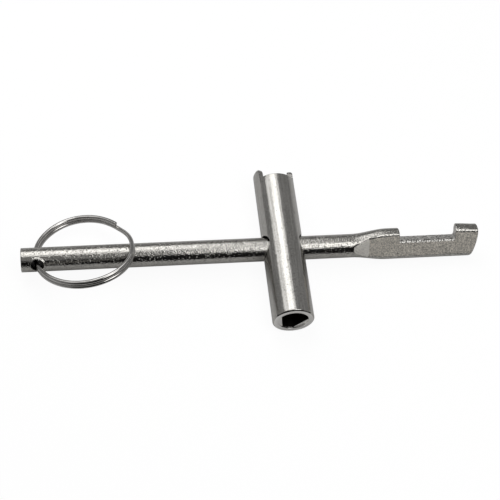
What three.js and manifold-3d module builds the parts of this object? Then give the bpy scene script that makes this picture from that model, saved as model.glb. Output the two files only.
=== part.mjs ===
// Utility cabinet key: a round cross bar with a flattened, notched blade, a cross sleeve that
// slides on it with a triangular socket at one end and two prongs at the other, and a split
// ring through the bar's end. Millimetres, +Z up. The bar lies along X with its blade at +X.
// The sleeve lies along Y with its socket at -Y, and rests on the ground at z = 0.

import * as THREE from "three";
import { mergeVertices } from "three/addons/utils/BufferGeometryUtils.js";
import Module from "manifold-3d";

const degrees = THREE.MathUtils.degToRad;

// Cross bar
const barDiameter = 8;
const ringEndReach = 87.1; // from the crossing to the bar's plain end
const tipReach = 67.15; // from the crossing to the blade's tip
const barEndBevel = 0.3;
const bladeFaceTilt = degrees(34.5); // how far the front face looks up from level

// Blade, forged from the end of the bar
const bladeThickness = 5.4;
const bladeDrop = 5.25; // crest of the lower edge below the bar's axis
const shoulderRise = 5.6; // crest of the upper edge above the axis, before the notch
const lugRise = 6.4; // crest of the upper edge past the notch
const tipRise = 6; // crest of the upper edge at the tip
const edgeSquareness = 2.4; // exponent of the rounded section, 2 is an ellipse
const wideningStart = 23.5; // from the crossing, where the bar starts to widen
const wideningLength = 12;
const rampStart = 24.5; // from the crossing, where the flats start to run in
const rampLength = 4.6;
const notchStart = 39.7; // from the crossing
const notchLength = 20.2;
const notchEndSkew = 0.8; // the notch is this much shorter at the front face
const notchFloorRise = 1.9; // notch floor above the bar's axis
const notchCornerRadius = 0.9;
const tipArcRadius = 19.3;
const tipArcRise = 4.2; // height of the tip arc's centre above the axis

// Hole for the ring
const ringHoleDiameter = 4.4;
const ringHoleInset = 5.3; // from the bar's plain end to the hole's axis
const ringHoleTwist = degrees(8); // the hole looks less far up than the blade's face

// Cross sleeve
const sleeveDiameter = 13.8;
const sleeveBore = 10;
const socketReach = 28.15; // from the crossing to the socket face
const prongReach = 30.7; // from the crossing to the prong tips
const prongHeight = 4.3;
const prongHalfAngle = degrees(29.25);
const prongTurn = degrees(-9.25); // the prongs' turn from level about the sleeve's axis
const prongTipRound = 1.5;
const boreDepth = 39; // from the prong tips to the web that holds the socket
const socketRounding = 0.65; // outer edge of the socket face
const socketRecess = 0.9; // flats start this far inside the face
const socketFlatRadius = 3.65; // from the axis to each flat
const socketTurn = degrees(9); // turn of the triangle about the sleeve's axis
const crossHoleDiameter = 9;
const barSeatGap = 0.2; // play under the bar in the cross hole

// Split ring
const wireDiameter = 1.3;
const coilGap = 0.43; // between the two layers of wire
const ringMeanRadius = 16.9; // before its flattening
const ringFlattening = 2; // the ring is drawn in where the wire steps down
const flatteningPlace = degrees(210); // from the bar's hole
const flatteningReach = degrees(90); // to each side of that place
const upperEndAngle = degrees(221); // cut end of the upper layer, from the bar's hole
const lowerEndAngle = degrees(176); // cut end of the lower layer
const ringTilt = degrees(8.5); // the ring leans in the hole by its play
const ringRestGap = 0.25; // between the ring and the top of the bar
const ringSetback = 0.64; // the wire passes the hole this far from its middle

// Facets and cutters
const barFacets = 48;
const wideningSteps = 11;
const arcFacets = 8;
const sleeveFacets = 72;
const loopSteps = 24;
const wireFacets = 6;
const overrun = 2; // cutters run past the faces they cut

// Sizes that follow
const barRadius = barDiameter / 2;
const sleeveRadius = sleeveDiameter / 2;
const boreRadius = sleeveBore / 2;
const crossHoleRadius = crossHoleDiameter / 2;
const wireRadius = wireDiameter / 2;
const layerPitch = wireDiameter + coilGap;
const barDropInHole = crossHoleRadius - barRadius - barSeatGap;
const barHeight = sleeveRadius - barDropInHole;
const ringHoleTilt = bladeFaceTilt - ringHoleTwist;
const ringHolePlace = ringHoleInset - ringEndReach;

const wasm = await Module();
wasm.setup();

// A closed geometry as a solid that can be joined and cut.
function toSolid(geometry) {
  const bare = geometry.clone();
  bare.deleteAttribute("normal");
  bare.deleteAttribute("uv");
  const merged = mergeVertices(bare);
  return new wasm.Manifold(
    new wasm.Mesh({
      numProp: 3,
      vertProperties: new Float32Array(merged.attributes.position.array),
      triVerts: new Uint32Array(merged.index.array),
    }),
  );
}

// A solid back as a geometry.
function toGeometry(solid) {
  const mesh = solid.getMesh();
  const geometry = new THREE.BufferGeometry();
  geometry.setAttribute("position", new THREE.BufferAttribute(mesh.vertProperties, 3));
  geometry.setIndex(new THREE.BufferAttribute(mesh.triVerts, 1));
  geometry.computeVertexNormals();
  return geometry;
}

// A closed skin over rings of points. Each ring is convex, has as many points as the others
// and goes round the way of travel by the right-hand rule. A fan closes each end.
function skin(rings) {
  const count = rings[0].length;
  const positions = rings.flat().flatMap((point) => point.toArray());
  const faces = [];
  for (let ring = 0; ring < rings.length - 1; ring += 1) {
    for (let point = 0; point < count; point += 1) {
      const here = ring * count + point;
      const beside = ring * count + ((point + 1) % count);
      faces.push(here, beside, beside + count);
      faces.push(here, beside + count, here + count);
    }
  }
  const last = (rings.length - 1) * count;
  for (let point = 1; point < count - 1; point += 1) {
    faces.push(0, point + 1, point);
    faces.push(last, last + point, last + point + 1);
  }
  const geometry = new THREE.BufferGeometry();
  geometry.setAttribute("position", new THREE.Float32BufferAttribute(positions, 3));
  geometry.setIndex(faces);
  geometry.computeVertexNormals();
  return geometry;
}

// Points from one angle to another on a circle about the origin.
function arc(radius, from, to, steps) {
  return Array.from({ length: steps + 1 }, (_, step) => {
    const angle = THREE.MathUtils.lerp(from, to, step / steps);
    return new THREE.Vector2(radius * Math.cos(angle), radius * Math.sin(angle));
  });
}

// Cross bar
// Built along X with the blade's faces square to Y and its width along Z.

// Rounded section of the bar at a place along it: an ellipse of the given squareness whose
// upper and lower halves have their own crest heights.
function barSection(place, rise, drop, depth, squareness) {
  return Array.from({ length: barFacets }, (_, facet) => {
    const angle = (facet / barFacets) * 2 * Math.PI;
    const cosine = Math.cos(angle);
    const sine = Math.sin(angle);
    const across = Math.sign(cosine) * Math.abs(cosine) ** (2 / squareness);
    const up = Math.sign(sine) * Math.abs(sine) ** (2 / squareness);
    return new THREE.Vector3(place, depth * across, up * (up > 0 ? rise : drop));
  });
}

// The bar before its flats, notch and hole are cut.
function barBlank() {
  const rings = [];
  const roundSection = (place, radius) => rings.push(barSection(place, radius, radius, radius, 2));
  roundSection(-ringEndReach, barRadius - barEndBevel);
  roundSection(-ringEndReach + barEndBevel, barRadius);
  for (let step = 0; step <= wideningSteps; step += 1) {
    const share = step / wideningSteps;
    const eased = THREE.MathUtils.smoothstep(share, 0, 1);
    const rise = THREE.MathUtils.lerp(barRadius, shoulderRise, eased);
    const drop = THREE.MathUtils.lerp(barRadius, bladeDrop, eased);
    rings.push(barSection(wideningStart + share * wideningLength, rise, drop, barRadius, 2));
  }
  const bladeSection = (place, rise) =>
    rings.push(barSection(place, rise, bladeDrop, barRadius, edgeSquareness));
  bladeSection(notchStart + notchLength / 4, shoulderRise);
  bladeSection(notchStart + (3 * notchLength) / 4, lugRise);
  bladeSection(tipReach + overrun, tipRise);
  return toSolid(skin(rings));
}

// Material in front of one face of the blade: it ramps in from the bar's surface.
function faceCutter(side) {
  const faceDepth = bladeThickness / 2;
  const runOut = barRadius + overrun;
  const rampSlope = (barRadius - faceDepth) / rampLength;
  const outline = new THREE.Shape([
    new THREE.Vector2(rampStart - overrun, barRadius + overrun * rampSlope),
    new THREE.Vector2(rampStart + rampLength, faceDepth),
    new THREE.Vector2(tipReach + overrun, faceDepth),
    new THREE.Vector2(tipReach + overrun, runOut),
    new THREE.Vector2(rampStart - overrun, runOut),
  ]);
  const height = 2 * (lugRise + overrun);
  const cutter = new THREE.ExtrudeGeometry(outline, { depth: height, bevelEnabled: false });
  cutter.translate(0, 0, -height / 2);
  if (side < 0) cutter.rotateX(Math.PI);
  return toSolid(cutter);
}

// Material in the notch of the upper edge: its end wall is skewed and rounded at the floor.
function notchCutter() {
  const depth = bladeThickness / 2;
  const top = lugRise + overrun;
  const corner = arc(notchCornerRadius, -Math.PI / 2, 0, arcFacets);
  const outline = (y) => {
    const end = notchStart + notchLength - (notchEndSkew * (depth - y)) / bladeThickness;
    const points = corner.map(
      (point) =>
        new THREE.Vector3(
          end - notchCornerRadius + point.x,
          y,
          notchFloorRise + notchCornerRadius + point.y,
        ),
    );
    points.push(new THREE.Vector3(end, y, top));
    points.push(new THREE.Vector3(notchStart, y, top));
    points.push(new THREE.Vector3(notchStart, y, notchFloorRise));
    return points.reverse();
  };
  return toSolid(skin([outline(-depth - overrun), outline(depth + overrun)]));
}

// Material past the tip's arc, whose centre lies above the axis.
function tipCutter() {
  const centre = tipReach - tipArcRadius;
  const low = -bladeDrop - overrun;
  const high = lugRise + overrun;
  const lowAngle = Math.asin((low - tipArcRise) / tipArcRadius);
  const highAngle = Math.asin((high - tipArcRise) / tipArcRadius);
  const edge = arc(tipArcRadius, lowAngle, highAngle, 2 * arcFacets);
  const points = edge.map((point) => new THREE.Vector2(centre + point.x, tipArcRise + point.y));
  points.push(new THREE.Vector2(tipReach + overrun, high), new THREE.Vector2(tipReach + overrun, low));
  const depth = 2 * (barRadius + overrun);
  const cutter = new THREE.ExtrudeGeometry(new THREE.Shape(points), { depth, bevelEnabled: false });
  cutter.translate(0, 0, -depth / 2);
  cutter.rotateX(Math.PI / 2);
  return toSolid(cutter);
}

// The ring's hole through the bar, turned from the blade's faces.
function ringHoleCutter() {
  const radius = ringHoleDiameter / 2;
  const length = barDiameter + 2 * overrun;
  const cutter = new THREE.CylinderGeometry(radius, radius, length, barFacets);
  cutter.rotateX(ringHoleTwist);
  cutter.translate(ringHolePlace, 0, 0);
  return toSolid(cutter);
}

function crossBarSolid() {
  const cutters = [faceCutter(1), faceCutter(-1), notchCutter(), tipCutter(), ringHoleCutter()];
  return cutters.reduce((solid, cutter) => solid.subtract(cutter), barBlank());
}

// Cross sleeve
// Built along Y about its own axis, with the crossing at y = 0.

// Sleeve before its side cuts: rounded socket face, shallow recess, web and bore.
function sleeveBlank() {
  const face = -socketReach;
  const flatsStart = face + socketRecess;
  const webEnd = prongReach - boreDepth;
  const rounding = arc(socketRounding, -Math.PI / 2, 0, arcFacets).map(
    (point) =>
      new THREE.Vector2(sleeveRadius - socketRounding + point.x, face + socketRounding + point.y),
  );
  const profile = [
    new THREE.Vector2(0, flatsStart),
    new THREE.Vector2(boreRadius, flatsStart),
    new THREE.Vector2(boreRadius, face),
    ...rounding,
    new THREE.Vector2(sleeveRadius, prongReach),
    new THREE.Vector2(boreRadius, prongReach),
    new THREE.Vector2(boreRadius, webEnd),
    new THREE.Vector2(0, webEnd),
  ];
  return toSolid(new THREE.LatheGeometry(profile, sleeveFacets));
}

// Triangular hole whose corners end on the bore's circle. Its points lie in X and Z.
function socketCutter() {
  const halfFlat = Math.acos(socketFlatRadius / boreRadius);
  const corners = [];
  for (let side = 0; side < 3; side += 1) {
    const flat = Math.PI + socketTurn + (side / 3) * 2 * Math.PI;
    const next = flat + (2 / 3) * Math.PI;
    corners.push(...arc(boreRadius, flat + halfFlat, next - halfFlat, arcFacets));
  }
  const ring = (y) => corners.map((point) => new THREE.Vector3(point.x, y, point.y)).reverse();
  return toSolid(skin([ring(-socketReach - overrun), ring(prongReach - boreDepth + overrun)]));
}

// Space between the prongs on one side: a sector that opens a little at the rounded tips.
function prongGapCutter(side) {
  const middle = prongTurn + side * (Math.PI / 2);
  const halfGap = Math.PI / 2 - prongHalfAngle;
  const floor = prongReach - prongHeight;
  const outer = sleeveRadius + overrun;
  const sector = (y, widening) => {
    const half = halfGap + widening / sleeveRadius;
    const edge = arc(outer / Math.cos(half / arcFacets), middle - half, middle + half, arcFacets);
    const points = [new THREE.Vector2(0, 0), ...edge];
    return points.map((point) => new THREE.Vector3(point.x, y, point.y)).reverse();
  };
  const rings = [sector(floor, 0)];
  for (let step = 0; step <= arcFacets; step += 1) {
    const angle = (step / arcFacets) * (Math.PI / 2);
    const widening = prongTipRound * (1 - Math.cos(angle));
    rings.push(sector(prongReach - prongTipRound + prongTipRound * Math.sin(angle), widening));
  }
  rings.push(sector(prongReach + overrun, prongTipRound));
  return toSolid(skin(rings));
}

// The oversize hole that the bar passes through.
function crossHoleCutter() {
  const length = sleeveDiameter + 2 * overrun;
  const cutter = new THREE.CylinderGeometry(crossHoleRadius, crossHoleRadius, length, barFacets);
  cutter.rotateZ(Math.PI / 2);
  return toSolid(cutter);
}

function crossSleeveSolid() {
  const cutters = [socketCutter(), prongGapCutter(1), prongGapCutter(-1), crossHoleCutter()];
  return cutters.reduce((solid, cutter) => solid.subtract(cutter), sleeveBlank());
}

// Split ring
// Built about the hole's centre: the ring's centre lies along +X, the wire passes the hole
// along Y, and +Z is the side of the upper layer. One wire winds almost twice round.

// Angle that the whole wire covers, from the upper end round to the lower end.
const wireSweep = 4 * Math.PI + lowerEndAngle - upperEndAngle;

// Height of the wire above the ring's middle plane: the upper layer steps down to the lower
// one between the two cut ends.
function layerHeight(travel) {
  const stepStart = 2 * Math.PI - (upperEndAngle - lowerEndAngle);
  const stepped = THREE.MathUtils.smoothstep(travel, stepStart, 2 * Math.PI);
  return THREE.MathUtils.lerp(layerPitch / 2, -layerPitch / 2, stepped);
}

// Radius of the ring at an angle from the hole.
function ringRadius(angle) {
  const turned = THREE.MathUtils.euclideanModulo(angle, 2 * Math.PI);
  const away = Math.min(Math.abs(turned - flatteningPlace) / flatteningReach, 1);
  return ringMeanRadius - (ringFlattening * (1 + Math.cos(Math.PI * away))) / 2;
}

// Point on the wire's centre line, as an angle of travel from the upper end.
function wirePoint(travel) {
  const angle = upperEndAngle + travel;
  const radius = ringRadius(angle);
  return new THREE.Vector3(
    ringMeanRadius - ringSetback - radius * Math.cos(angle),
    -radius * Math.sin(angle),
    layerHeight(travel),
  );
}

function splitRingGeometry() {
  const steps = Math.round((wireSweep / (2 * Math.PI)) * loopSteps);
  const rings = [];
  for (let step = 0; step <= steps; step += 1) {
    const travel = (step / steps) * wireSweep;
    const angle = upperEndAngle + travel;
    const outward = new THREE.Vector3(-Math.cos(angle), -Math.sin(angle), 0);
    const up = new THREE.Vector3(0, 0, 1);
    const section = arc(wireRadius, 0, 2 * Math.PI, wireFacets).slice(0, -1);
    rings.push(
      section.map((point) =>
        wirePoint(travel).addScaledVector(outward, -point.x).addScaledVector(up, point.y),
      ),
    );
  }
  return skin(rings);
}

// Least gap of the wire to itself, measured between points a quarter turn or more apart.
function leastWireGap() {
  const samples = 20 * loopSteps;
  const points = Array.from({ length: samples + 1 }, (_, sample) =>
    wirePoint((sample / samples) * wireSweep),
  );
  const apart = Math.ceil((Math.PI / 2 / wireSweep) * samples);
  let least = Infinity;
  points.forEach((point, index) => {
    for (let other = index + apart; other < points.length; other += 1) {
      least = Math.min(least, point.distanceTo(points[other]));
    }
  });
  return least - wireDiameter;
}

console.log(`split_ring: least gap of the wire to itself ${leastWireGap().toFixed(3)} mm`);

// Assembly

function part(name, geometry, colour, roughness) {
  const material = new THREE.MeshStandardMaterial({ color: colour, roughness, metalness: 1 });
  const mesh = new THREE.Mesh(geometry, material);
  mesh.name = name;
  return mesh;
}

const crossBar = part("cross_bar", toGeometry(crossBarSolid()), 0xb9b7b2, 0.4);
crossBar.position.z = barHeight;
crossBar.rotation.x = -bladeFaceTilt;

const crossSleeve = part("cross_sleeve", toGeometry(crossSleeveSolid()), 0xc4c2be, 0.3);
crossSleeve.position.z = sleeveRadius;

// The ring swings about the hole's axis. It lies on the bar, so its far side is lifted, and
// it leans a little in the hole.
const splitRing = part("split_ring", splitRingGeometry(), 0xc9c8c6, 0.25);
const farSide = ringMeanRadius - ringSetback + ringRadius(Math.PI);
const lift = Math.asin((barRadius + ringRestGap + wireRadius + layerPitch / 2) / farSide);
splitRing.rotation.order = "XYZ";
splitRing.rotation.set(-ringHoleTilt, -lift, 0);
splitRing.rotateX(ringTilt);
splitRing.position.set(ringHolePlace, 0, barHeight);

const key = new THREE.Group();
key.add(crossBar, crossSleeve, splitRing);
key.position.set((ringEndReach - tipReach) / 2, (socketReach - prongReach) / 2, 0);

const assembly = new THREE.Group();
assembly.add(key);

export default assembly;
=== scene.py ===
"""Looks of the utility cabinet key: a plated bar with a ground blade, a plated cross sleeve with
a triangular socket and two prongs, and a split ring of polished wire."""

import math

import bpy
import numpy as np
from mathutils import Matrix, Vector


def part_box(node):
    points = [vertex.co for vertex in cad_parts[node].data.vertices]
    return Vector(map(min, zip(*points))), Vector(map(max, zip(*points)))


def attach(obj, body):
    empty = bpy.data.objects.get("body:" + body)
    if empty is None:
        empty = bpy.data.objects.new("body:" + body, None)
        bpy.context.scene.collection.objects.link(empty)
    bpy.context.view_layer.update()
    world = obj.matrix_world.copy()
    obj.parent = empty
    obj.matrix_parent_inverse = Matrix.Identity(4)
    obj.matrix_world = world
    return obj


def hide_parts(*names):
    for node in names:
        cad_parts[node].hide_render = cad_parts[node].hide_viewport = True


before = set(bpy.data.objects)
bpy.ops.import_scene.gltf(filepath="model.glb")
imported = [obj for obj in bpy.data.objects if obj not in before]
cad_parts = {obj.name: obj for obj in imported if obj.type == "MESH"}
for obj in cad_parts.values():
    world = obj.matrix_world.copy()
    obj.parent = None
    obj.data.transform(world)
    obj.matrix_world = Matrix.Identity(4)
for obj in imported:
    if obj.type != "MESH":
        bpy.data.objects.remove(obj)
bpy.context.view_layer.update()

MM = 0.001  # the sizes below are in millimetres
OVER = 1e-4  # angle between two columns that hold a wall between them

# Bar, with x from the crossing and the blade's width along its own z
BAR_RADIUS = 4.0
BAR_START = -87.1
BAR_END_ROUND = 0.15
TIP_REACH = 67.15
FACE_TILT = math.radians(34.5)
FACE_DEPTH = 2.7
BLADE_DROP = 5.25
SHOULDER_RISE = 5.6
LUG_RISE = 6.4
TIP_RISE = 6.0
EDGE_SQUARENESS = 2.0
SQUARING_START = 30
WIDENING_START, WIDENING_LENGTH = 23.5, 12.0
RAMP_START, RAMP_LENGTH = 24.5, 4.6
NOTCH_START, NOTCH_LENGTH = 39.7, 20.2
NOTCH_FLOOR = 1.9
NOTCH_SKEW = 0.8
SKEW_FADE = (1.2, 4)
NOTCH_CORNER = 0.9
TIP_ARC_RADIUS, TIP_ARC_RISE = 19.3, 4.2
TIP_PULL_START = 0.6
EDGE_BREAK = 0.3
FACE_ROUND, FLOOR_ROUND = 0.9, 1.7
FLOOR_WAVE, FLOOR_WAVE_RATES = 0.4, (5.3, 1.9)
RING_HOLE_RADIUS = 2.1
RING_HOLE_PLACE = -81.8
RING_HOLE_TILT = math.radians(26.5)
HOLE_ROUND = 0.2
HOLE_LIP, LIP_WIDTH, LIP_LEAN = 0.25, 0.3, 0.35
BAR_COLUMNS = 256
BAR_EDGE_STEPS = 4
END_SHARES = (0.02, 0.3, 0.6, 0.85)
TIP_SHARES = (0.97, 0.9, 0.75, 0.5, 0.25, 0.02)
RING_BLOCK_REACH, RING_BLOCK_ROWS = 3.2, 65
SHANK_END, BLADE_START = 23, 23.2
SHANK_STEP, BLADE_STEP, FLOOR_STEP, LUG_STEP = 4.0, 0.25, 0.2, 0.4
# The bar's third slot is painted shade: near-black metal lining the ring's hole.
BAR_PLATE, GROUND_STEEL, RING_BORE_PAINTED_SHADE, RAMP_PAINTED_LIGHT, NOTCH_STEEL = range(5)  # the bar's slots

# Sleeve, with y from the crossing
SLEEVE_RADIUS = 6.9
SLEEVE_BORE_RADIUS = 5.0
SOCKET_FACE = -28.15
SOCKET_ROUND = 0.45
SOCKET_CORNER = 1.4  # exponent of the rounded corner, 2 is a circle and 1 a straight bevel
SOCKET_RECESS = 0.5
SOCKET_FLATS = ((188, 3.67), (319, 3.87), (73, 4.3))  # way it lies in degrees, and distance
FLAT_ROUND = 0.2
WEB_END = -8.3
PRONG_TIP = 30.7
PRONG_HEIGHT = 4.3
PRONG_HALF = math.radians(29.25)
PRONG_TURN = math.radians(-9.25)
PRONG_TIP_ROUND = 1.5
PRONG_OUTER_ROUND = 1.0
PRONG_ROOT_ROUND = 1.0
CROSS_HOLE_RADIUS = 4.5
CROSS_HOLE_ROUND, CROSS_HOLE_INNER_ROUND = 0.25, 0.1
CORNER_INSET = 0.03
SLEEVE_EDGE = 0.2
MOUTH_ROUND = 0.15
BAR_SAG = 0.3
SLEEVE_COLUMNS = 256
CROSS_BLOCK_REACH, CROSS_BLOCK_ROWS = 6, 97
CROSS_BLOCK_TURN = math.radians(73)
# Rows of the socket's deep end and the cross hole's lining through the wall take the near-black
# bore slot: painted shade inside these hollows.
PAINTED_SHADE_ROWS = 8
PATCH_RINGS = 16  # rings of a hole's patch before its rim
# The turned face slot is the sleeve end's own turned finish, made lighter as painted highlight; it
# is also a painted highlight on the cross hole's outer rim and on the socket's flats by the mouth.
SLEEVE_PLATE, TURNED_FACE_AND_HIGHLIGHT, SLEEVE_PAINTED_SHADE, MILLED_EDGE = range(4)  # the sleeve's slots

# Split ring
WIRE_RADIUS = 0.73
LAYER_PITCH = 1.5
RING_RADIUS = 16.9
RING_FLATTENING = 2.0
RING_OVAL = 0.6
RING_OVAL_TURN = math.radians(33)
FLATTENING_PLACE = math.radians(210)
FLATTENING_REACH = math.radians(90)
RING_SETBACK = 0.82
RING_TILT = math.radians(8.5)
RING_REST_GAP = 0.2
UPPER_END = math.radians(221)
LOWER_END = math.radians(176)
WIRE_SIDES = 28
RING_STEPS = 450
END_DRAW = 0.25
FAR_FLATTENING = (1 + math.cos(math.radians(60))) / 2

# Skin of the metals
TONE_CELL, SPOT_CELL = 5.0, 0.9
SPOT_SHADE = 0.35
STREAK_CELL, STREAK_STRETCH, STREAK_HEIGHT = 0.5, 0.04, 0.01

# Studio
FLOOR_HALF = 1500
FLOOR_TONE, FLOOR_SHADE, FLOOR_GLOSS = 0.8, 0.15, 0.05
FLOOR_GLOW = 1.1
ROOM_TONE, ROOM_GLOSS = 0.1, 0.16
CLOTH_TONE = 0.035
CLOTH_HALF, CLOTH_FAR, CLOTH_NEAR = 600, -500, -46
CLOTH_HEIGHT, CLOTH_LIFT = 480, 0.3
CAMERA_LENS = 86.4
CAMERA_PLACE = (-0.05374, -0.21531, 0.34501)  # metres
CAMERA_TURN = (32.7515, -4.9328, -6.1589)  # degrees

# Where the crossing lies in the frame
sleeve_low, sleeve_high = (np.array(corner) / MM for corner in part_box("cross_sleeve"))
CROSSING_X = (sleeve_low[0] + sleeve_high[0]) / 2
CROSSING_Y = sleeve_low[1] - SOCKET_FACE
SLEEVE_HEIGHT = (sleeve_low[2] + sleeve_high[2]) / 2
BAR_HEIGHT = SLEEVE_HEIGHT - BAR_SAG
BAR_PLACE = np.array([CROSSING_X, CROSSING_Y, BAR_HEIGHT])
SLEEVE_PLACE = np.array([CROSSING_X, CROSSING_Y, SLEEVE_HEIGHT])


# Mesh helpers

def turned(points, axis, angle):
    """Points turned about a coordinate axis by the right-hand rule."""
    c, s = math.cos(angle), math.sin(angle)
    a, b = [(1, 2), (2, 0), (0, 1)][axis]
    out = points.copy()
    out[..., a] = c * points[..., a] - s * points[..., b]
    out[..., b] = s * points[..., a] + c * points[..., b]
    return out


def smoothstep(value, low, high):
    """Eases from 0 at low to 1 at high."""
    t = np.clip((value - low) / (high - low), 0, 1)
    return t * t * (3 - 2 * t)


def soft_min(a, b, width):
    """The lesser of two values, rounded over where they are less than a width apart."""
    h = np.clip(1 - np.abs(a - b) / width, 0, 1)
    return np.minimum(a, b) - h * h * width / 4


def quarter(steps):
    """Sine and cosine of evenly spaced angles over a quarter turn."""
    angle = np.linspace(0, math.pi / 2, steps + 1)
    return np.sin(angle), np.cos(angle)


def grid_faces(rows, columns, close_rows=False):
    """Quads over a grid of points whose columns close on themselves, as an array of rows by
    columns by four indices."""
    row = np.arange(rows if close_rows else rows - 1)[:, None]
    column = np.arange(columns)[None, :]
    beside, below = (column + 1) % columns, (row + 1) % rows
    corners = [row * columns + column, row * columns + beside]
    corners += [below * columns + beside, below * columns + column]
    return np.stack(np.broadcast_arrays(*corners), -1)


def loop_strip(first, second):
    """Quads between two closed loops of indices."""
    return np.stack([first, np.roll(first, -1), np.roll(second, -1), second], -1)


def end_fans(rows, width, first):
    """Triangles from a grid's first row to the point numbered first, and from its last row to
    the next point."""
    around = np.arange(width)
    beside = (around + 1) % width
    last = (rows - 1) * width
    start = np.stack([np.full(width, first), beside, around], -1)
    end = np.stack([np.full(width, first + 1), last + around, last + beside], -1)
    return np.concatenate([start, end])


def patch_loop(rows, columns, width):
    """Indices round the edge of a block of a grid, from its first row and column."""
    top = rows[0] * width + columns[:-1]
    right = rows[:-1] * width + columns[-1]
    bottom = rows[-1] * width + columns[:0:-1]
    left = rows[:0:-1] * width + columns[0]
    return np.concatenate([top, right, bottom, left])


def loop_angles(row_count, column_count):
    """Angle of each point of a patch's loop about the hole's middle. Each side of the block
    takes a quarter turn; angle 0 looks along the rows' way."""
    sides = [column_count - 1, row_count - 1, column_count - 1, row_count - 1]
    starts = np.radians([225, 135, 45, -45])
    return np.concatenate([
        start - np.arange(count) / count * math.pi / 2 for start, count in zip(starts, sides)
    ])


def hole_patch(points, loop, angles, tube_radius, hole_radius, rounding, side, lip=0.0):
    """Rings of points from a block's edge to a round hole in a tube, and over its rounded rim.
    Points hold (along, across, out). Each ring is a straight blend, seen along the hole's axis,
    of the block's edge and the hole's circle, and out = sqrt(tube radius^2 - across^2), plus a
    raised lip on the upper side, of height * sine of the angle * exp(-(distance from the
    rim / the lip's width)^2)."""
    edge = points[loop][:, :2]
    circle = np.stack([np.cos(angles), np.sin(angles)], -1)
    rings = []
    rim = (hole_radius + rounding) * circle
    for share in np.linspace(0, 1, PATCH_RINGS + 1)[1:] ** 0.7:
        flat = edge + (rim - edge) * share
        out = np.sqrt(tube_radius**2 - flat[:, 1] ** 2)
        away = np.hypot(flat[:, 0], flat[:, 1])
        upper = np.clip((LIP_LEAN * flat[:, 0] - flat[:, 1]) / away, 0, 1)
        beyond = away - hole_radius - rounding
        out = out + lip * upper * np.exp(-((beyond / LIP_WIDTH) ** 2))
        rings.append(np.column_stack([flat, side * out]))
    rim_out = side * rings[-1][:, 2]
    inward = 1 if tube_radius == SLEEVE_BORE_RADIUS else -1
    for sine, cosine in list(zip(*quarter(5)))[1:]:
        flat = (hole_radius + rounding * (1 - sine)) * circle
        out = rim_out + inward * rounding * (1 - cosine)
        rings.append(np.column_stack([flat, side * out]))
    return rings


def new_piece(name, points, faces, materials, body, node, face_slots=None):
    """A mesh piece in metres that rides on a body and stands for a CAD node."""
    mesh = bpy.data.meshes.new(name)
    mesh.from_pydata((points * MM).tolist(), [], [list(face) for face in faces])
    for material in materials:
        mesh.materials.append(material)
    if face_slots is not None:
        mesh.polygons.foreach_set("material_index", np.asarray(face_slots, dtype=np.int32))
    mesh.polygons.foreach_set("use_smooth", np.ones(len(mesh.polygons), dtype=bool))
    mesh.set_sharp_from_angle(angle=math.radians(38))
    mesh.update()
    piece = bpy.data.objects.new(name, mesh)
    bpy.context.scene.collection.objects.link(piece)
    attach(piece, body)
    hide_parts(node)
    return piece


# Bar with its blade

def blade_floor(x):
    """Height of the notch's floor, which curves up into its end wall by a quarter circle."""
    run = np.clip(x - (NOTCH_START + NOTCH_LENGTH - NOTCH_CORNER), 0, NOTCH_CORNER)
    return NOTCH_FLOOR + NOTCH_CORNER - np.sqrt(NOTCH_CORNER**2 - run**2)


def bar_radius(x, angle, notched):
    """Distance of the bar's skin from its axis: a rounded section |y/a|^n + |z/b|^n = 1 whose
    upper and lower crests rise at the blade, cut softly by the faces, the ramps and the floor.
    The floor's front edge is rounded by a width * (1 + wave * sin(first rate * x) *
    sin(second rate * x))."""
    c, s = np.cos(angle), np.sin(angle)
    eased = smoothstep(x, WIDENING_START, WIDENING_START + WIDENING_LENGTH)
    past = smoothstep(x, NOTCH_START + NOTCH_LENGTH / 4, NOTCH_START + NOTCH_LENGTH * 0.75)
    tip = smoothstep(x, NOTCH_START + NOTCH_LENGTH, TIP_REACH)
    rise = BAR_RADIUS + (SHOULDER_RISE - BAR_RADIUS) * eased + (LUG_RISE - SHOULDER_RISE) * past
    rise = rise + (TIP_RISE - LUG_RISE) * tip
    drop = BAR_RADIUS + (BLADE_DROP - BAR_RADIUS) * eased
    crest = np.where(s > 0, rise, drop)
    square = 2 + (EDGE_SQUARENESS - 2) * smoothstep(x, SQUARING_START, NOTCH_START)
    skin = (np.abs(c / BAR_RADIUS) ** square + np.abs(s / crest) ** square) ** (-1 / square)
    ramp = np.clip((x - RAMP_START) / RAMP_LENGTH, -1, 1)
    depth = BAR_RADIUS + (FACE_DEPTH - BAR_RADIUS) * ramp
    skin = soft_min(skin, depth / np.maximum(np.abs(c), 1e-3), FACE_ROUND)
    floor = blade_floor(x) / np.maximum(s, 1e-3)
    first, second = FLOOR_WAVE_RATES
    uneven = 1 + FLOOR_WAVE * np.sin(first * x) * np.sin(second * x) * (c < 0)
    cut = soft_min(skin, floor, FLOOR_ROUND * uneven)
    return np.where(notched & (s > 0), cut, skin)


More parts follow.
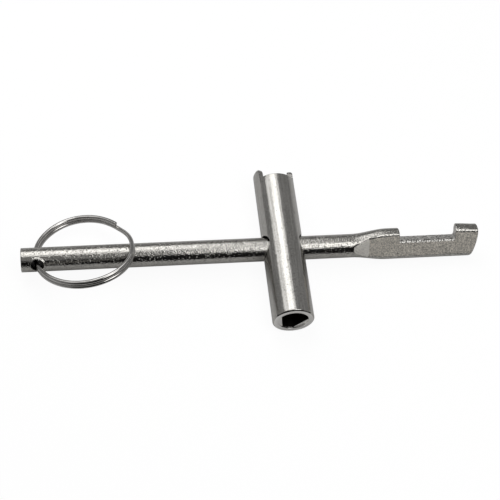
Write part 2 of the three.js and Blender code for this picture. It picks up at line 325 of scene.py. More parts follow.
def bar_stations():
    """Places along the bar, each with whether the notch is cut there and how far the crest is
    drawn in by a wall's rounded edge."""
    sine, cosine = quarter(BAR_EDGE_STEPS)
    reach = RING_BLOCK_REACH
    near_hole = RING_HOLE_PLACE + np.linspace(-reach, reach, RING_BLOCK_ROWS)
    end_wall = NOTCH_START + NOTCH_LENGTH
    plain = [
        near_hole,
        np.arange(near_hole[-1] + 2, SHANK_END, SHANK_STEP),
        np.arange(BLADE_START, NOTCH_START - EDGE_BREAK, BLADE_STEP),
    ]
    floor = np.concatenate([
        np.arange(NOTCH_START, end_wall - NOTCH_CORNER, FLOOR_STEP),
        end_wall - NOTCH_CORNER + NOTCH_CORNER * np.linspace(0, 1, 9),
    ])
    lug = np.arange(end_wall + EDGE_BREAK + FLOOR_STEP, TIP_REACH - EDGE_BREAK, LUG_STEP)
    stations = [(x, False, 0.0) for x in np.concatenate(plain)]
    stations += [
        (NOTCH_START - EDGE_BREAK * (1 - a), False, EDGE_BREAK * (1 - b))
        for a, b in zip(sine, cosine)
    ]
    stations += [(x, True, 0.0) for x in floor]
    stations += [
        (end_wall + EDGE_BREAK * (1 - a), False, EDGE_BREAK * (1 - b))
        for a, b in zip(sine[::-1], cosine[::-1])
    ]
    stations += [(x, False, 0.0) for x in lug]
    return stations


def bar_rings():
    """Rings of (x, y, z) points from the plain end's middle to the tip's middle."""
    angle = (np.arange(BAR_COLUMNS) + 0.5) / BAR_COLUMNS * 2 * math.pi
    flat = np.stack([np.cos(angle), np.sin(angle)], -1)
    rings = []

    def ring(x, radius):
        rings.append(np.column_stack([np.broadcast_to(x, angle.shape), radius[:, None] * flat]))

    full = np.full(BAR_COLUMNS, BAR_RADIUS)
    for share in END_SHARES:
        ring(BAR_START, (full - BAR_END_ROUND) * share)
    for sine, cosine in zip(*quarter(BAR_EDGE_STEPS)):
        ring(BAR_START + BAR_END_ROUND * (1 - cosine), full - BAR_END_ROUND * (1 - sine))
    for x, notched, inset in bar_stations():
        radius = bar_radius(x, angle, notched)
        height = radius * flat[:, 1]
        wall = smoothstep(height, NOTCH_FLOOR, NOTCH_FLOOR + 0.5)
        ring(x, radius - inset * wall)
    end_wall = NOTCH_START + NOTCH_LENGTH
    for points in rings:
        near = 1 - smoothstep(np.abs(points[:, 0] - end_wall), *SKEW_FADE)
        skew = NOTCH_SKEW * (FACE_DEPTH - points[:, 1]) / (2 * FACE_DEPTH)
        points[:, 0] -= near * np.clip(skew, 0, NOTCH_SKEW)
    radius = bar_radius(TIP_REACH, angle, False)
    for sine, cosine in zip(*quarter(BAR_EDGE_STEPS)):
        ring(TIP_REACH - EDGE_BREAK * (1 - sine), radius - EDGE_BREAK * (1 - cosine))
    for share in TIP_SHARES:
        ring(TIP_REACH, (radius - EDGE_BREAK) * share)
    for points in rings:
        bulge = TIP_ARC_RADIUS**2 - (points[:, 2] - TIP_ARC_RISE) ** 2
        pull = smoothstep(points[:, 0], end_wall + TIP_PULL_START, TIP_REACH - EDGE_BREAK)
        points[:, 0] += pull * (np.sqrt(bulge) - TIP_ARC_RADIUS)
    return rings


def bar_skins(points, quads, bore_count, fan_count):
    """Slot of each of the bar's faces, from its place and the way it looks. The last quads line
    the ring's hole, and the triangles at the ends come after the quads."""
    middles = points[quads].mean(1)
    edge_a = points[quads[:, 1]] - points[quads[:, 0]]
    edge_b = points[quads[:, 3]] - points[quads[:, 0]]
    normal = np.cross(edge_a, edge_b)
    normal /= np.maximum(np.linalg.norm(normal, axis=1, keepdims=True), 1e-12)
    along, across, up = np.abs(normal).T
    x, z = middles[:, 0], middles[:, 2]
    ramp_end = RAMP_START + RAMP_LENGTH
    flat = across > 0.9
    on_ramp = (x < ramp_end) & (x > RAMP_START - 1.5) & (along > 0.1)
    in_notch = (x > NOTCH_START - 0.1) & (x < NOTCH_START + NOTCH_LENGTH + 0.1) & (z > 0)
    skins = np.full(len(quads) + fan_count, BAR_PLATE)
    of_quads = skins[:len(quads)]
    of_quads[flat & (up < 0.16 * across) & (x > ramp_end)] = GROUND_STEEL
    # The ramp facet takes a lighter copy of the ground steel: painted light that makes it brighter
    # than the blade's face.
    of_quads[flat & on_ramp] = RAMP_PAINTED_LIGHT
    of_quads[in_notch & (across < 0.7)] = NOTCH_STEEL
    # The ring hole's lining takes the near-black metal: painted shade inside the hole.
    of_quads[len(quads) - bore_count:] = RING_BORE_PAINTED_SHADE
    return skins


def cross_bar(materials):
    """The bar: one grid of rings round its axis, closed by a point at each end, with two round
    blocks of the grid opened for the ring's hole and joined through the bar."""
    rings = bar_rings()
    rows, width = len(rings), BAR_COLUMNS
    points = np.concatenate(rings)
    faces = grid_faces(rows, width)
    block_rows = len(END_SHARES) + BAR_EDGE_STEPS + 1 + np.arange(RING_BLOCK_ROWS)
    hole_turn = math.pi + (FACE_TILT - RING_HOLE_TILT)
    middle = int(round(hole_turn / (2 * math.pi) * width - 0.5))
    steps = np.arange(RING_BLOCK_ROWS) - RING_BLOCK_ROWS // 2
    open_face = np.zeros(faces.shape[:2], dtype=bool)
    extra, strips, rims, count = [points], [], [], len(points)
    cosine, sine = math.cos(hole_turn), math.sin(hole_turn)
    to_hole = np.array([[cosine, sine], [-sine, cosine]])
    local = np.column_stack([points[:, 0] - RING_HOLE_PLACE, points[:, 1:] @ to_hole.T])
    local = local[:, [0, 2, 1]]
    opposite = middle + width // 2
    for side, columns in ((1, (middle + steps) % width), (-1, (opposite - steps) % width)):
        cells = columns[:-1] if side > 0 else columns[1:]
        open_face[np.ix_(block_rows[:-1], cells)] = True
        loop = patch_loop(block_rows, columns, width)
        angles = loop_angles(len(block_rows), len(columns))
        last = loop
        for patch in hole_patch(
            local, loop, angles, BAR_RADIUS, RING_HOLE_RADIUS, HOLE_ROUND, side, HOLE_LIP
        ):
            flat = patch[:, [2, 1]] @ to_hole
            extra.append(np.column_stack([patch[:, 0] + RING_HOLE_PLACE, flat]))
            here = count + np.arange(len(loop))
            strip = loop_strip(last, here)
            strips.append(strip if side > 0 else strip[:, ::-1])
            count += len(loop)
            last = here
        rims.append(last)
    strips.append(loop_strip(rims[0], rims[1]))
    points = np.concatenate(extra)
    ends = np.array([[BAR_START, 0, 0], [points[(rows - 1) * width:rows * width, 0].mean(), 0, 0]])
    points = np.concatenate([points, ends])
    quads = np.concatenate([faces[~open_face], *strips])
    fans = end_fans(rows, width, count)
    skins = bar_skins(points, quads, len(strips[-1]), len(fans))
    placed = turned(points, 0, -FACE_TILT) + BAR_PLACE
    return new_piece(
        "bar_and_blade", placed, [*quads[:, ::-1], *fans], materials,
        "bar", "cross_bar", skins,
    )


# Cross sleeve

def sleeve_angles():
    """Angles of the sleeve's columns from +X towards +Z, with two columns at each prong wall."""
    even = (np.arange(SLEEVE_COLUMNS) + 0.5) / SLEEVE_COLUMNS * 2 * math.pi
    walls = []
    for middle in (PRONG_TURN, PRONG_TURN + math.pi):
        for edge in (middle - PRONG_HALF, middle + PRONG_HALF):
            walls += [edge - OVER, edge + OVER]
    walls = np.mod(walls, 2 * math.pi)
    kept = even[np.abs(even[:, None] - walls[None, :]).min(1) > 0.004]
    return np.sort(np.concatenate([kept, walls]))


def sleeve_top(angle):
    """Height of the sleeve's open end: the gap's floor, which curves up by a quarter circle to
    a prong's wall, or a prong with its tip's edges rounded by a quarter circle."""
    away = np.abs(np.mod(angle - PRONG_TURN + math.pi / 2, math.pi) - math.pi / 2)
    inside = (PRONG_HALF - away) * SLEEVE_RADIUS
    run = np.clip(PRONG_TIP_ROUND - inside, 0, PRONG_TIP_ROUND)
    prong = PRONG_TIP - PRONG_TIP_ROUND + np.sqrt(PRONG_TIP_ROUND**2 - run**2)
    near = np.clip(PRONG_ROOT_ROUND + inside, 0, PRONG_ROOT_ROUND)
    root = PRONG_ROOT_ROUND - np.sqrt(PRONG_ROOT_ROUND**2 - near**2)
    return np.where(inside > 0, prong, PRONG_TIP - PRONG_HEIGHT + root), inside > 0


def socket_radius(angle):
    """Radius of the triangular hole: the least of each flat's distance / cos(angle from its
    middle) and of a circle just under the bore's."""
    radius = np.full_like(angle, SLEEVE_BORE_RADIUS - CORNER_INSET)
    for way, distance in SOCKET_FLATS:
        facing = np.cos(angle - math.radians(way))
        radius = np.minimum(radius, distance / np.maximum(facing, 0.01))
    return radius


def sleeve_rows(angle):
    """Closed run of (radius, y) pairs round the sleeve's wall, one pair of arrays a row, and the
    first rows of the outer and the inner blocks that hold the cross hole."""
    outer, bore = SLEEVE_RADIUS, SLEEVE_BORE_RADIUS
    top, on_prong = sleeve_top(angle)
    outer_edge = np.where(on_prong, PRONG_OUTER_ROUND, SLEEVE_EDGE)
    socket = socket_radius(angle)
    one = np.ones_like(angle)
    edge = SLEEVE_EDGE
    block = np.linspace(-CROSS_BLOCK_REACH, CROSS_BLOCK_REACH, CROSS_BLOCK_ROWS)
    past = CROSS_BLOCK_REACH
    rows = []

    def row(radius, y):
        rows.append((radius * one, y * one))

    for sine, cosine in zip(*quarter(10)):
        out, in_ = sine ** (2 / SOCKET_CORNER), max(cosine, 0) ** (2 / SOCKET_CORNER)
        row(outer - SOCKET_ROUND * (1 - out), SOCKET_FACE + SOCKET_ROUND * (1 - in_))
    for y in np.linspace(SOCKET_FACE + 2, -8, 6):
        row(outer, y)
    outer_start = len(rows)
    for y in block:
        row(outer, y)
    for share in (0.3, 0.6, 0.85, 1.0):
        row(outer, past + (top - outer_edge - past) * share)
    for sine, cosine in list(zip(*quarter(7)))[1:]:
        row(outer - outer_edge * (1 - cosine), top - outer_edge * (1 - sine))
    gap_rows = len(rows) - 1
    row((outer - outer_edge + bore + edge) / 2, top)
    for sine, cosine in zip(*quarter(4)):
        row(bore + edge * (1 - sine), top - edge * (1 - cosine))
    for share in (0.85, 0.6, 0.3):
        row(bore, past + (top - edge - past) * share)
    inner_start = len(rows)
    for y in np.linspace(past, -past, CROSS_BLOCK_ROWS):
        row(bore, y)
    row(bore, WEB_END)
    row(socket, WEB_END)
    for y in np.linspace(WEB_END, SOCKET_FACE + SOCKET_RECESS + FLAT_ROUND, 8)[1:]:
        row(socket, y)
    for sine, cosine in list(zip(*quarter(3)))[1:]:
        lead = np.minimum(socket + FLAT_ROUND * (1 - cosine), bore - 0.01)
        row(lead, SOCKET_FACE + SOCKET_RECESS + FLAT_ROUND * (1 - sine))
    row(bore, SOCKET_FACE + SOCKET_RECESS)
    for sine, cosine in zip(*quarter(3)):
        row(bore + MOUTH_ROUND * (1 - cosine), SOCKET_FACE + MOUTH_ROUND * (1 - sine))
    row((outer - SOCKET_ROUND + bore) / 2, SOCKET_FACE)
    web_start = inner_start + CROSS_BLOCK_ROWS
    skins = np.full(len(rows), SLEEVE_PLATE)
    skins[gap_rows:gap_rows + 2] = MILLED_EDGE
    # The socket's web and deep flats are near-black: painted shade.
    skins[web_start - 1:web_start + PAINTED_SHADE_ROWS] = SLEEVE_PAINTED_SHADE
    # The flats' front ends, the step, the mouth and the face ring take the light turned face:
    # their own turned finish, lightened as painted highlight.
    skins[web_start + PAINTED_SHADE_ROWS:] = TURNED_FACE_AND_HIGHLIGHT
    return rows, skins, outer_start, inner_start


def cross_sleeve(materials):
    """The sleeve: a closed wall outline carried round its axis. Blocks of the outer and the inner
    wall are opened on both sides and joined through the wall as the cross hole."""
    angle = sleeve_angles()
    rows, skins, outer_start, inner_start = sleeve_rows(angle)
    width = len(angle)
    c, s = np.cos(angle), np.sin(angle)
    points = np.concatenate([np.column_stack([r * c, y, r * s]) for r, y in rows])
    faces = grid_faces(len(rows), width, close_rows=True)
    open_face = np.zeros(faces.shape[:2], dtype=bool)
    local = points[:, [1, 2, 0]]
    extra, strips, patch_skins, count = [points], [], [], len(points)
    for side in (1, -1):
        middle = 0 if side > 0 else math.pi
        away = np.mod(angle - middle + math.pi, 2 * math.pi) - math.pi
        columns = np.flatnonzero(np.abs(away) <= CROSS_BLOCK_TURN)
        columns = columns[np.argsort(side * away[columns])]
        cells = columns[:-1] if side > 0 else columns[1:]
        rims = []
        for start, radius, rounding in (
            (outer_start, SLEEVE_RADIUS, CROSS_HOLE_ROUND),
            (inner_start, SLEEVE_BORE_RADIUS, CROSS_HOLE_INNER_ROUND),
        ):
            block = start + np.arange(CROSS_BLOCK_ROWS)
            open_face[np.ix_(block[:-1], cells)] = True
            on_outer = start == outer_start
            block = block if on_outer else block[::-1]
            loop = patch_loop(block, columns, width)
            angles = loop_angles(len(block), len(columns))
            last = loop
            patches = hole_patch(local, loop, angles, radius, CROSS_HOLE_RADIUS, rounding, side)
            for number, patch in enumerate(patches):
                extra.append(patch[:, [2, 0, 1]])
                here = count + np.arange(len(loop))
                strip = loop_strip(last, here)
                strips.append(strip if (side > 0) == on_outer else strip[:, ::-1])
                # The cross hole's outer rim takes the light turned face: a painted highlight.
                on_rim = on_outer and number >= PATCH_RINGS
                patch_skins.append(TURNED_FACE_AND_HIGHLIGHT if on_rim else SLEEVE_PLATE)
                count += len(loop)
                last = here
            rims.append(last)
        strip = loop_strip(rims[0], rims[1])
        strips.append(strip if side > 0 else strip[:, ::-1])
        # The cross hole's lining through the wall is near-black: painted shade.
        patch_skins.append(SLEEVE_PAINTED_SHADE)
    points = np.concatenate(extra)
    quads = np.concatenate([faces[~open_face], *strips])
    gap_wall = np.diff(angle, append=angle[0] + 2 * math.pi) < 3 * OVER
    face_skins = np.where(gap_wall[None, :], MILLED_EDGE, skins[:, None])[~open_face]
    strip_skins = np.repeat(patch_skins, [len(strip) for strip in strips])
    face_skins = np.concatenate([face_skins, strip_skins])
    return new_piece(
        "sleeve_with_socket", points + SLEEVE_PLACE, quads, materials,
        "sleeve", "cross_sleeve", face_skins,
    )


# Split ring

def split_ring(materials):
    """One wire carried along its path: angle a from the hole, radius R - oval *
    cos(2 (a - turn)), drawn in by (1 + cos) / 2 of a bump, height half a pitch up, then eased
    down to half a pitch below between the two cut ends. Its section is a circle, drawn in at
    the ends."""
    sweep = 4 * math.pi + LOWER_END - UPPER_END
    sine, cosine = quarter(4)
    end_shares = WIRE_RADIUS * END_DRAW * (1 - cosine) / (RING_RADIUS * sweep)
    end_thickness = 1 - END_DRAW + END_DRAW * sine
    shares = np.concatenate([
        end_shares, np.linspace(0, 1, RING_STEPS + 1)[1:-1], 1 - end_shares[::-1]
    ])
    thickness = np.concatenate([end_thickness, np.ones(RING_STEPS - 1), end_thickness[::-1]])
    travel = shares * sweep
    angle = UPPER_END + travel
    away = np.minimum(np.abs(np.mod(angle, 2 * math.pi) - FLATTENING_PLACE) / FLATTENING_REACH, 1)
    radius = RING_RADIUS - RING_FLATTENING * (1 + np.cos(math.pi * away)) / 2
    radius = radius - RING_OVAL * np.cos(2 * (angle - RING_OVAL_TURN))
    step_start = 2 * math.pi - (UPPER_END - LOWER_END)
    height = LAYER_PITCH / 2 - LAYER_PITCH * smoothstep(travel, step_start, 2 * math.pi)
    round_angle = np.arange(WIRE_SIDES) / WIRE_SIDES * 2 * math.pi
    ring_out = radius[:, None] + WIRE_RADIUS * thickness[:, None] * np.cos(round_angle)
    up = height[:, None] + WIRE_RADIUS * thickness[:, None] * np.sin(round_angle)
    points = np.stack([
        RING_RADIUS - RING_SETBACK - ring_out * np.cos(angle)[:, None],
        -ring_out * np.sin(angle)[:, None],
        up,
    ], -1).reshape(-1, 3)
    rows, width = len(angle), WIRE_SIDES
    faces = grid_faces(rows, width).reshape(-1, 4)
    ends = points.reshape(rows, width, 3)[[0, -1]].mean(1)
    fans = end_fans(rows, width, len(points))
    points = np.concatenate([points, ends])
    far_radius = RING_RADIUS - RING_FLATTENING * FAR_FLATTENING
    lift = math.asin(
        (BAR_RADIUS + RING_REST_GAP + WIRE_RADIUS + LAYER_PITCH / 2)
        / (RING_RADIUS - RING_SETBACK + far_radius)
    )
    placed = turned(points, 0, RING_TILT)
    placed = turned(placed, 1, -lift)
    placed = turned(placed, 0, -RING_HOLE_TILT)
    placed = placed + BAR_PLACE + np.array([RING_HOLE_PLACE, 0, 0])
    return new_piece(
        "ring_of_wire", placed, [*faces, *fans], materials, "ring", "split_ring"
    )


# Materials

def node(tree, kind, **values):
    """A node with its properties and its inputs set by name."""
    made = tree.nodes.new(kind)
    for name, value in values.items():
        if name in made.inputs:
            made.inputs[name].default_value = value
        else:
            setattr(made, name, value)
    return made


def feed(tree, socket, value):
    """Links a socket, or writes a plain value, into an input."""
    if isinstance(value, bpy.types.NodeSocket):
        tree.links.new(value, socket)
    elif isinstance(value, tuple) and socket.type == "RGBA":
        socket.default_value = (*value[:3], 1)
    else:
        socket.default_value = value


def arithmetic(tree, operation, first, second, clamp=False):
    """One Math node over two values."""
    made = node(tree, "ShaderNodeMath", operation=operation, use_clamp=clamp)
    feed(tree, made.inputs[0], first)
    feed(tree, made.inputs[1], second)
    return made.outputs[0]


def blended(tree, factor, first, second):
    """A colour between two by a factor."""
    made = node(tree, "ShaderNodeMix", data_type="RGBA")
    feed(tree, made.inputs["Factor"], factor)
    sockets = [s for s in made.inputs if s.type == "RGBA"]
    feed(tree, sockets[0], first)
    feed(tree, sockets[1], second)
    return [s for s in made.outputs if s.type == "RGBA"][0]


def ranged(tree, value, low, high, to_low=0.0, to_high=1.0):
    """A value stretched from one range to another, and held there."""
    made = node(tree, "ShaderNodeMapRange")
    feed(tree, made.inputs["Value"], value)
    limits = {"From Min": low, "From Max": high, "To Min": to_low, "To Max": to_high}
    for name, number in limits.items():
        made.inputs[name].default_value = number
    return made.outputs["Result"]


def noise(tree, place, cell, detail, roughness=0.5):
    """Noise whose cell is a size in millimetres, given as a number or a socket."""
    made = node(tree, "ShaderNodeTexNoise", Detail=detail, Roughness=roughness)
    tree.links.new(place, made.inputs["Vector"])
    feed(tree, made.inputs["Scale"], arithmetic(tree, "DIVIDE", 1 / MM, cell))
    return made.outputs["Fac"]


def metal_skin_group():
    """Shared skin of the metals: a height of pebbles and grain less sparse pits, a slow tone,
    the grain, and a mask of dark spots."""
    tree = bpy.data.node_groups.new("metal_skin", "ShaderNodeTree")
    face = tree.interface
    face.new_socket("Place", in_out="INPUT", socket_type="NodeSocketVector")
    for name in (
        "Pebble Size", "Pebble Height", "Grain Size", "Grain Height", "Pit Size", "Pit Depth"
    ):
        face.new_socket(name, in_out="INPUT", socket_type="NodeSocketFloat")
    for name in ("Height", "Tone", "Grain", "Spots"):
        face.new_socket(name, in_out="OUTPUT", socket_type="NodeSocketFloat")
    start = tree.nodes.new("NodeGroupInput").outputs
    end = tree.nodes.new("NodeGroupOutput").inputs
    place = start["Place"]
    pebbles = noise(tree, place, start["Pebble Size"], 1.0, 0.4)
    grain = noise(tree, place, start["Grain Size"], 1.0, 0.5)
    tone = noise(tree, place, TONE_CELL, 3.0, 0.6)
    spots = noise(tree, place, SPOT_CELL, 2.0, 0.6)
    pebble_height = arithmetic(tree, "MULTIPLY", pebbles, start["Pebble Height"])
    grain_height = arithmetic(tree, "MULTIPLY", grain, start["Grain Height"])
    height = arithmetic(tree, "ADD", pebble_height, grain_height)
    cells = node(tree, "ShaderNodeTexVoronoi")
    tree.links.new(place, cells.inputs["Vector"])
    feed(tree, cells.inputs["Scale"], arithmetic(tree, "DIVIDE", 1 / MM, start["Pit Size"]))
    chance = node(tree, "ShaderNodeSeparateColor")
    tree.links.new(cells.outputs["Color"], chance.inputs["Color"])
    cup = ranged(tree, cells.outputs["Distance"], 0.5, 0.1)
    cup = arithmetic(tree, "MULTIPLY", cup, ranged(tree, chance.outputs["Red"], 0.5, 0.9))
    cup = arithmetic(tree, "MULTIPLY", cup, start["Pit Depth"])
    tree.links.new(arithmetic(tree, "SUBTRACT", height, cup), end["Height"])
    tree.links.new(ranged(tree, tone, 0.35, 0.65), end["Tone"])
    tree.links.new(ranged(tree, grain, 0.35, 0.65), end["Grain"])
    tree.links.new(ranged(tree, spots, 0.36, 0.28), end["Spots"])
    return tree


def metal(name, tones, rough, pebbles, grain, mottle, spotted, pits=(1, 0), drawn=0.0):
    """A metal whose colour runs between two tones by the skin's slow tone and, as far as it is
    mottled, its grain, with darker spots, roughness that follows the grain, and bump from
    pebbles, grain and pits, each a size and a height in millimetres. Drawn adds streaks
    along Y."""
    material = bpy.data.materials.new(name)
    material.use_nodes = True
    tree = material.node_tree
    tree.nodes.clear()
    shader = node(tree, "ShaderNodeBsdfPrincipled", Metallic=1.0)
    output = node(tree, "ShaderNodeOutputMaterial")
    tree.links.new(shader.outputs["BSDF"], output.inputs["Surface"])
    place = node(tree, "ShaderNodeTexCoord").outputs["Object"]
    group = node(tree, "ShaderNodeGroup")
    group.node_tree = metal_skin
    for label, (size, height) in (("Pebble", pebbles), ("Grain", grain)):
        group.inputs[label + " Size"].default_value = size
        group.inputs[label + " Height"].default_value = height
    group.inputs["Pit Size"].default_value, group.inputs["Pit Depth"].default_value = pits
    tree.links.new(place, group.inputs["Place"])
    slow = arithmetic(tree, "MULTIPLY", group.outputs["Tone"], 1 - mottle)
    quick = arithmetic(tree, "MULTIPLY", group.outputs["Grain"], mottle)
    factor = arithmetic(tree, "ADD", slow, quick)
    height = group.outputs["Height"]
    if drawn:
        stretch = node(tree, "ShaderNodeMapping")
        stretch.inputs["Scale"].default_value = (1, STREAK_STRETCH, 1)
        tree.links.new(place, stretch.inputs["Vector"])
        streaks = noise(tree, stretch.outputs["Vector"], STREAK_CELL, 2.0)
        streak_tone = ranged(tree, streaks, 0.3, 0.7, -drawn, drawn)
        factor = arithmetic(tree, "ADD", factor, streak_tone, clamp=True)
        streak_height = arithmetic(tree, "MULTIPLY", streaks, drawn * STREAK_HEIGHT)
        height = arithmetic(tree, "ADD", height, streak_height)
    colour = blended(tree, factor, tones[0], tones[1])
    dark = tuple(v * SPOT_SHADE for v in tones[0])
    spots = arithmetic(tree, "MULTIPLY", group.outputs["Spots"], spotted)
    colour = blended(tree, spots, colour, dark)
    tree.links.new(colour, shader.inputs["Base Color"])
    tree.links.new(ranged(tree, group.outputs["Grain"], 0, 1, *rough), shader.inputs["Roughness"])
    bump = node(tree, "ShaderNodeBump", Strength=1.0, Distance=MM)
    tree.links.new(height, bump.inputs["Height"])
    tree.links.new(bump.outputs["Normal"], shader.inputs["Normal"])
    return material


metal_skin = metal_skin_group()
bar_plate = metal(
    "bar_plate", ((0.33, 0.32, 0.3), (0.6, 0.585, 0.55)), (0.08, 0.18),
    pebbles=(0.5, 0.075), grain=(0.3, 0.015), mottle=0.8, spotted=0.6, pits=(0.5, 0.09),
)
ground_steel = metal(
    "ground_steel", ((0.55, 0.525, 0.48), (1.0, 0.965, 0.9)), (0.68, 0.88),
    pebbles=(0.8, 0.06), grain=(0.42, 0.1), mottle=0.85, spotted=0.7, pits=(0.9, 0.05),
)
sleeve_plate = metal(
    "sleeve_plate", ((0.44, 0.43, 0.405), (0.6, 0.585, 0.56)), (0.13, 0.2),
    pebbles=(0.6, 0.01), grain=(0.4, 0.008), mottle=0.8, spotted=0.6, drawn=0.5,
)
# A lighter copy of the ground steel for the ramp facet: painted light, the grinding being the same
# as on the face.
ramp_steel_painted_light = metal(
    "ramp_steel_painted_light", ((0.85, 0.83, 0.79), (1.0, 0.985, 0.95)), (0.75, 0.95),
    pebbles=(0.8, 0.06), grain=(0.42, 0.1), mottle=0.85, spotted=0.5,
)
notch_steel = metal(
    "notch_steel", ((0.15, 0.145, 0.135), (0.9, 0.88, 0.84)), (0.25, 0.4),
    pebbles=(1.1, 0.15), grain=(0.7, 0.04), mottle=0.8, spotted=0.9, pits=(0.9, 0.06),
)
# The sleeve end's turned finish, lightened as painted highlight; also a painted highlight on the
# cross hole's rim and the socket's front flats.
turned_face_and_highlight = metal(
    "turned_face_and_highlight", ((0.9, 0.88, 0.85), (1.0, 0.985, 0.96)), (0.14, 0.24),
    pebbles=(1.2, 0.05), grain=(0.5, 0.02), mottle=0.4, spotted=0.3,
)
milled_edge = metal(
    "milled_edge", ((0.3, 0.29, 0.275), (0.5, 0.49, 0.47)), (0.35, 0.5),
    pebbles=(0.7, 0.1), grain=(0.4, 0.03), mottle=0.5, spotted=0.5,
)
# Near-black metal: painted shade for the darkness inside the ring's hole, the cross hole and the
# socket's deep end.
painted_shade_bore = metal(
    "painted_shade_bore", ((0.012, 0.011, 0.01), (0.03, 0.028, 0.026)), (0.4, 0.6),
    pebbles=(0.9, 0.08), grain=(0.4, 0.03), mottle=0.5, spotted=0.3,
)
wire_plate = metal(
    "wire_plate", ((0.44, 0.43, 0.415), (0.62, 0.605, 0.585)), (0.02, 0.06),
    pebbles=(2.5, 0.02), grain=(0.5, 0.003), mottle=0.3, spotted=0.2,
)

cross_bar([bar_plate, ground_steel, painted_shade_bore, ramp_steel_painted_light, notch_steel])
cross_sleeve([sleeve_plate, turned_face_and_highlight, painted_shade_bore, milled_edge])
split_ring([wire_plate])


# Floor, light and camera

def glow_share(tree, glossy):
    """How much of the white background a ray sees: all of it for the camera and through glass,
    and a share of it in mirror-like surfaces."""
    path = node(tree, "ShaderNodeLightPath")
    share = node(tree, "ShaderNodeMath", operation="MULTIPLY_ADD")
    share.inputs[1].default_value = glossy
    tree.links.new(path.outputs["Is Glossy Ray"], share.inputs[0])
    tree.links.new(path.outputs["Is Camera Ray"], share.inputs[2])
    total = node(tree, "ShaderNodeMath", operation="ADD", use_clamp=True)
    tree.links.new(share.outputs[0], total.inputs[0])
    tree.links.new(path.outputs["Is Transmission Ray"], total.inputs[1])
    return total.outputs[0]


def floor_paint():
    """Pale grey floor paint that the camera sees as white with a faint shadow."""
    material = bpy.data.materials.new("floor_paint")
    material.use_nodes = True
    tree = material.node_tree
    tree.nodes.clear()
    link = tree.links.new
    output = node(tree, "ShaderNodeOutputMaterial")
    paint = node(tree, "ShaderNodeBsdfDiffuse")
    paint.inputs["Color"].default_value = (FLOOR_TONE, FLOOR_TONE, FLOOR_TONE, 1)
    glow = node(tree, "ShaderNodeEmission", Strength=FLOOR_GLOW)
    glow.inputs["Color"].default_value = (1, 1, 1, 1)
    factor = node(tree, "ShaderNodeMath", operation="MULTIPLY")
    factor.inputs[1].default_value = 1 - FLOOR_SHADE
    link(glow_share(tree, FLOOR_GLOSS), factor.inputs[0])
    mix = node(tree, "ShaderNodeMixShader")
    link(factor.outputs[0], mix.inputs["Fac"])
    link(paint.outputs[0], mix.inputs[1])
    link(glow.outputs[0], mix.inputs[2])
    link(mix.outputs[0], output.inputs["Surface"])
    return material


def flat_sheet(name, corners, material):
    """A four-cornered stage sheet, corners in millimetres."""
    mesh = bpy.data.meshes.new(name)
    mesh.from_pydata((np.array(corners) * MM).tolist(), [], [[0, 1, 2, 3]])
    mesh.materials.append(material)
    sheet = bpy.data.objects.new(name, mesh)
    bpy.context.scene.collection.objects.link(sheet)
    return sheet


def dark_cloth():
    """Black cloth behind the camera, which gives metal its dark side."""
    material = bpy.data.materials.new("dark_cloth")
    material.use_nodes = True
    shader = material.node_tree.nodes["Principled BSDF"]
    shader.inputs["Base Color"].default_value = (CLOTH_TONE, CLOTH_TONE, CLOTH_TONE, 1)
    shader.inputs["Roughness"].default_value = 1.0
    shader.inputs["Specular IOR Level"].default_value = 0.0
    return material


def softbox(name, place, size, tilt, radiance):
    """A rectangular lamp, place and size in millimetres, tilted about X from facing down. The
    power is radiance times pi times area."""
    data = bpy.data.lights.new(name, "AREA")
    data.shape = "RECTANGLE"
    data.size, data.size_y = (v * MM for v in size)
    data.energy = radiance * math.pi * data.size * data.size_y
    lamp = bpy.data.objects.new(name, data)
    bpy.context.scene.collection.objects.link(lamp)
    lamp.location = [v * MM for v in place]
    lamp.rotation_euler = (math.radians(tilt), 0, 0)
    lamp.visible_camera = False


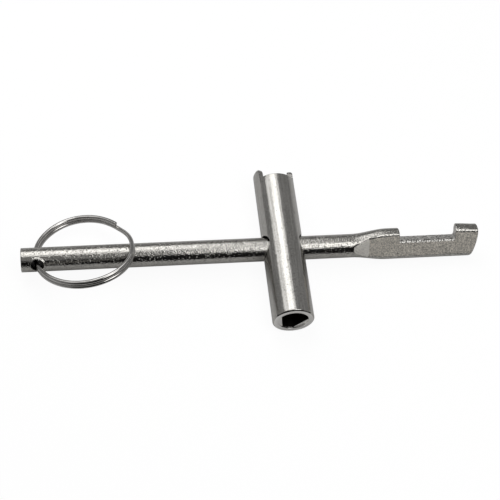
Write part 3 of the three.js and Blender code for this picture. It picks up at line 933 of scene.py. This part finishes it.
def room():
    """A plain grey room, seen as white by the camera."""
    world = bpy.data.worlds.new("room")
    bpy.context.scene.world = world
    world.use_nodes = True
    tree = world.node_tree
    tree.nodes.clear()
    link = tree.links.new
    output = node(tree, "ShaderNodeOutputWorld")
    background = node(tree, "ShaderNodeBackground", Strength=1.0)
    seen = node(tree, "ShaderNodeMix", data_type="RGBA")
    link(glow_share(tree, ROOM_GLOSS), seen.inputs["Factor"])
    grey, white = [s for s in seen.inputs if s.type == "RGBA"]
    grey.default_value = (ROOM_TONE, ROOM_TONE, ROOM_TONE, 1)
    white.default_value = (1, 1, 1, 1)
    link([s for s in seen.outputs if s.type == "RGBA"][0], background.inputs["Color"])
    link(background.outputs[0], output.inputs["Surface"])


def camera():
    """The camera at the photograph's place, fitted to the outlines of the bar and the sleeve."""
    data = bpy.data.cameras.new("camera")
    data.sensor_width = 36.0
    data.lens = CAMERA_LENS
    made = bpy.data.objects.new("camera", data)
    bpy.context.scene.collection.objects.link(made)
    made.location = CAMERA_PLACE
    made.rotation_euler = [math.radians(angle) for angle in CAMERA_TURN]
    bpy.context.scene.camera = made


def lying_sheet(name, half, start, stop, height, material):
    """A level stage sheet that reaches half to each side, between two places along Y."""
    corners = [[-half, start, height], [half, start, height]]
    corners += [[half, stop, height], [-half, stop, height]]
    return flat_sheet(name, corners, material)


lying_sheet("floor", FLOOR_HALF, -FLOOR_HALF, FLOOR_HALF, 0, floor_paint())
cloth = dark_cloth()
hanging = [
    [-CLOTH_HALF, CLOTH_FAR, 0], [CLOTH_HALF, CLOTH_FAR, 0],
    [CLOTH_HALF, CLOTH_FAR, CLOTH_HEIGHT], [-CLOTH_HALF, CLOTH_FAR, CLOTH_HEIGHT],
]
for sheet in (
    flat_sheet("dark_cloth_in_front", hanging, cloth),
    lying_sheet("dark_cloth_on_floor", CLOTH_HALF, CLOTH_FAR, CLOTH_NEAR, CLOTH_LIFT, cloth),
):
    sheet.visible_camera = sheet.visible_shadow = False
    sheet.visible_diffuse = False
room()
softbox("rear_key", (-84, 214, 452), (222, 480), -25, 1.0)
softbox("rear_key_heart", (-84, 250, 431), (222, 300), -30, 0.95)
softbox("rear_left_wing", (-342, 250, 433), (290, 480), -30, 0.95)
softbox("rear_right_wing", (72, 250, 433), (90, 480), -30, 0.85)
softbox("right_front", (200, -165, 480), (290, 380), 17, 2.0)
camera()
bpy.context.scene.view_settings.view_transform = "Standard"
